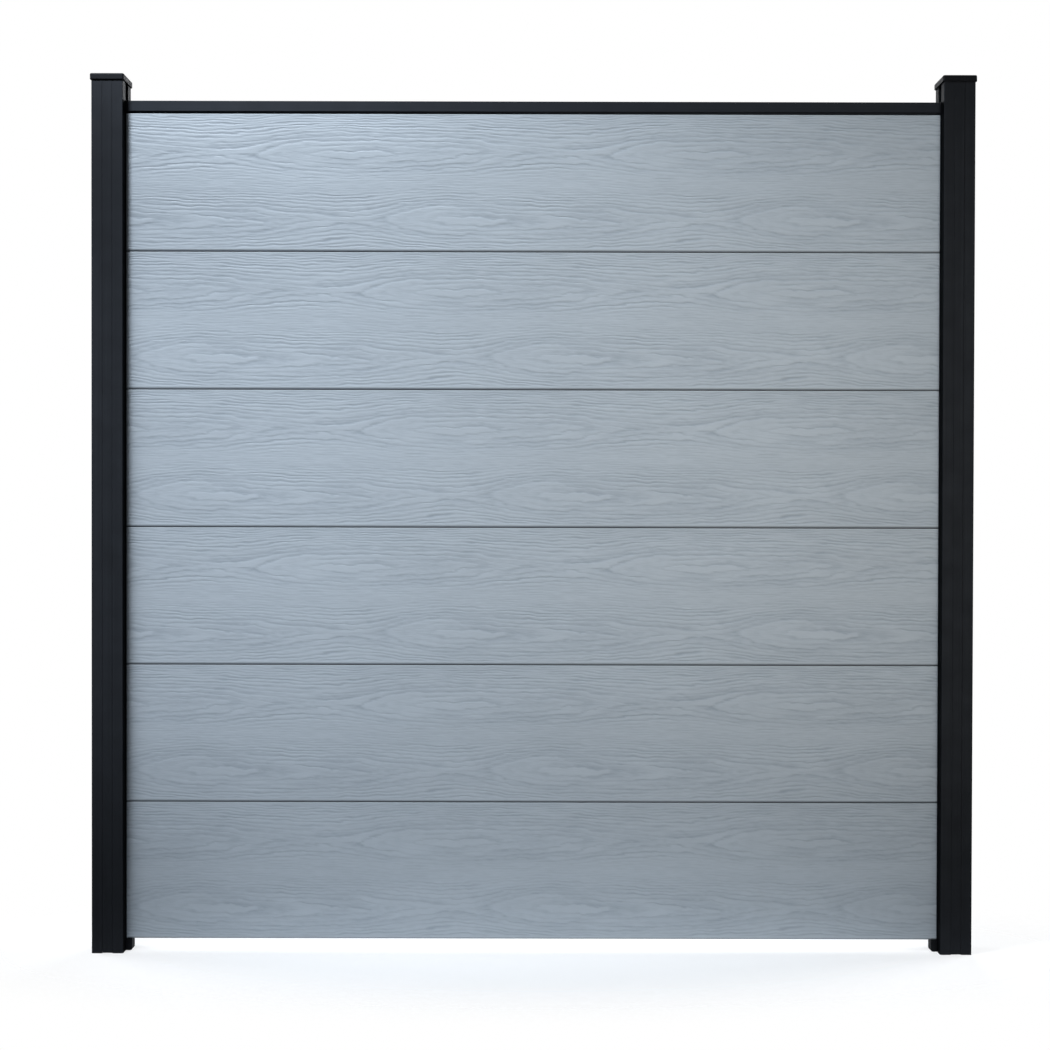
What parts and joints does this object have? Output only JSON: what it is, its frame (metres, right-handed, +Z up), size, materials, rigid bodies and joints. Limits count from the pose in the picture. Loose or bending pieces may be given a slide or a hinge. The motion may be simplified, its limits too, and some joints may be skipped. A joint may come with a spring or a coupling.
{
  "type": "fence panel",
  "caption": "Privacy fence panel of grey wood-grain composite boards laid flat in tongue and groove between slotted black aluminium posts, with flat post caps and a black top rail.",
  "frame": {"origin": "on the ground under the middle of the panel, halfway between the posts and through their depth", "axes": "+X along the panel to the right post as seen from the front, +Y from front to back, +Z up"},
  "size_m": [1.9158, 0.0738, 1.905],
  "materials": {
    "post_coating": "black powder coat, fine texture",
    "strip_coating": "black powder coat, fine texture",
    "rail_coating": "black powder coat, satin",
    "board_composite": "blue-grey co-extruded skin with embossed wood grain",
    "cap_plastic": "moulded black plastic, satin",
    "support_plastic": "moulded black plastic, matt",
    "seal_rubber": "black extruded rubber"
  },
  "bodies": {
    "posts": {"left_post": "post_coating", "right_post": "post_coating", "left_front_strip": "strip_coating", "left_outer_strip": "strip_coating", "left_back_strip": "strip_coating", "right_front_strip": "strip_coating", "right_outer_strip": "strip_coating", "right_back_strip": "strip_coating", "left_front_seal": "seal_rubber", "left_back_seal": "seal_rubber", "right_front_seal": "seal_rubber", "right_back_seal": "seal_rubber", "left_support": "support_plastic", "right_support": "support_plastic"},
    "infill": {"board_1": "board_composite", "board_2": "board_composite", "board_3": "board_composite", "board_4": "board_composite", "board_5": "board_composite", "board_6": "board_composite", "top_rail": "rail_coating"},
    "left_cap": {"left_cap": "cap_plastic"},
    "right_cap": {"right_cap": "cap_plastic"}
  },
  "joints": [
    {"name": "infill_lift", "type": "slide", "parent": "posts", "child": "infill", "axis": [0, 0, 1], "range_m": [0, 0.038]},
    {"name": "left_cap_lift", "type": "slide", "parent": "posts", "child": "left_cap", "axis": [0, 0, 1], "range_m": [0, 0.03]},
    {"name": "right_cap_lift", "type": "slide", "parent": "posts", "child": "right_cap", "axis": [0, 0, 1], "range_m": [0, 0.03]}
  ]
}
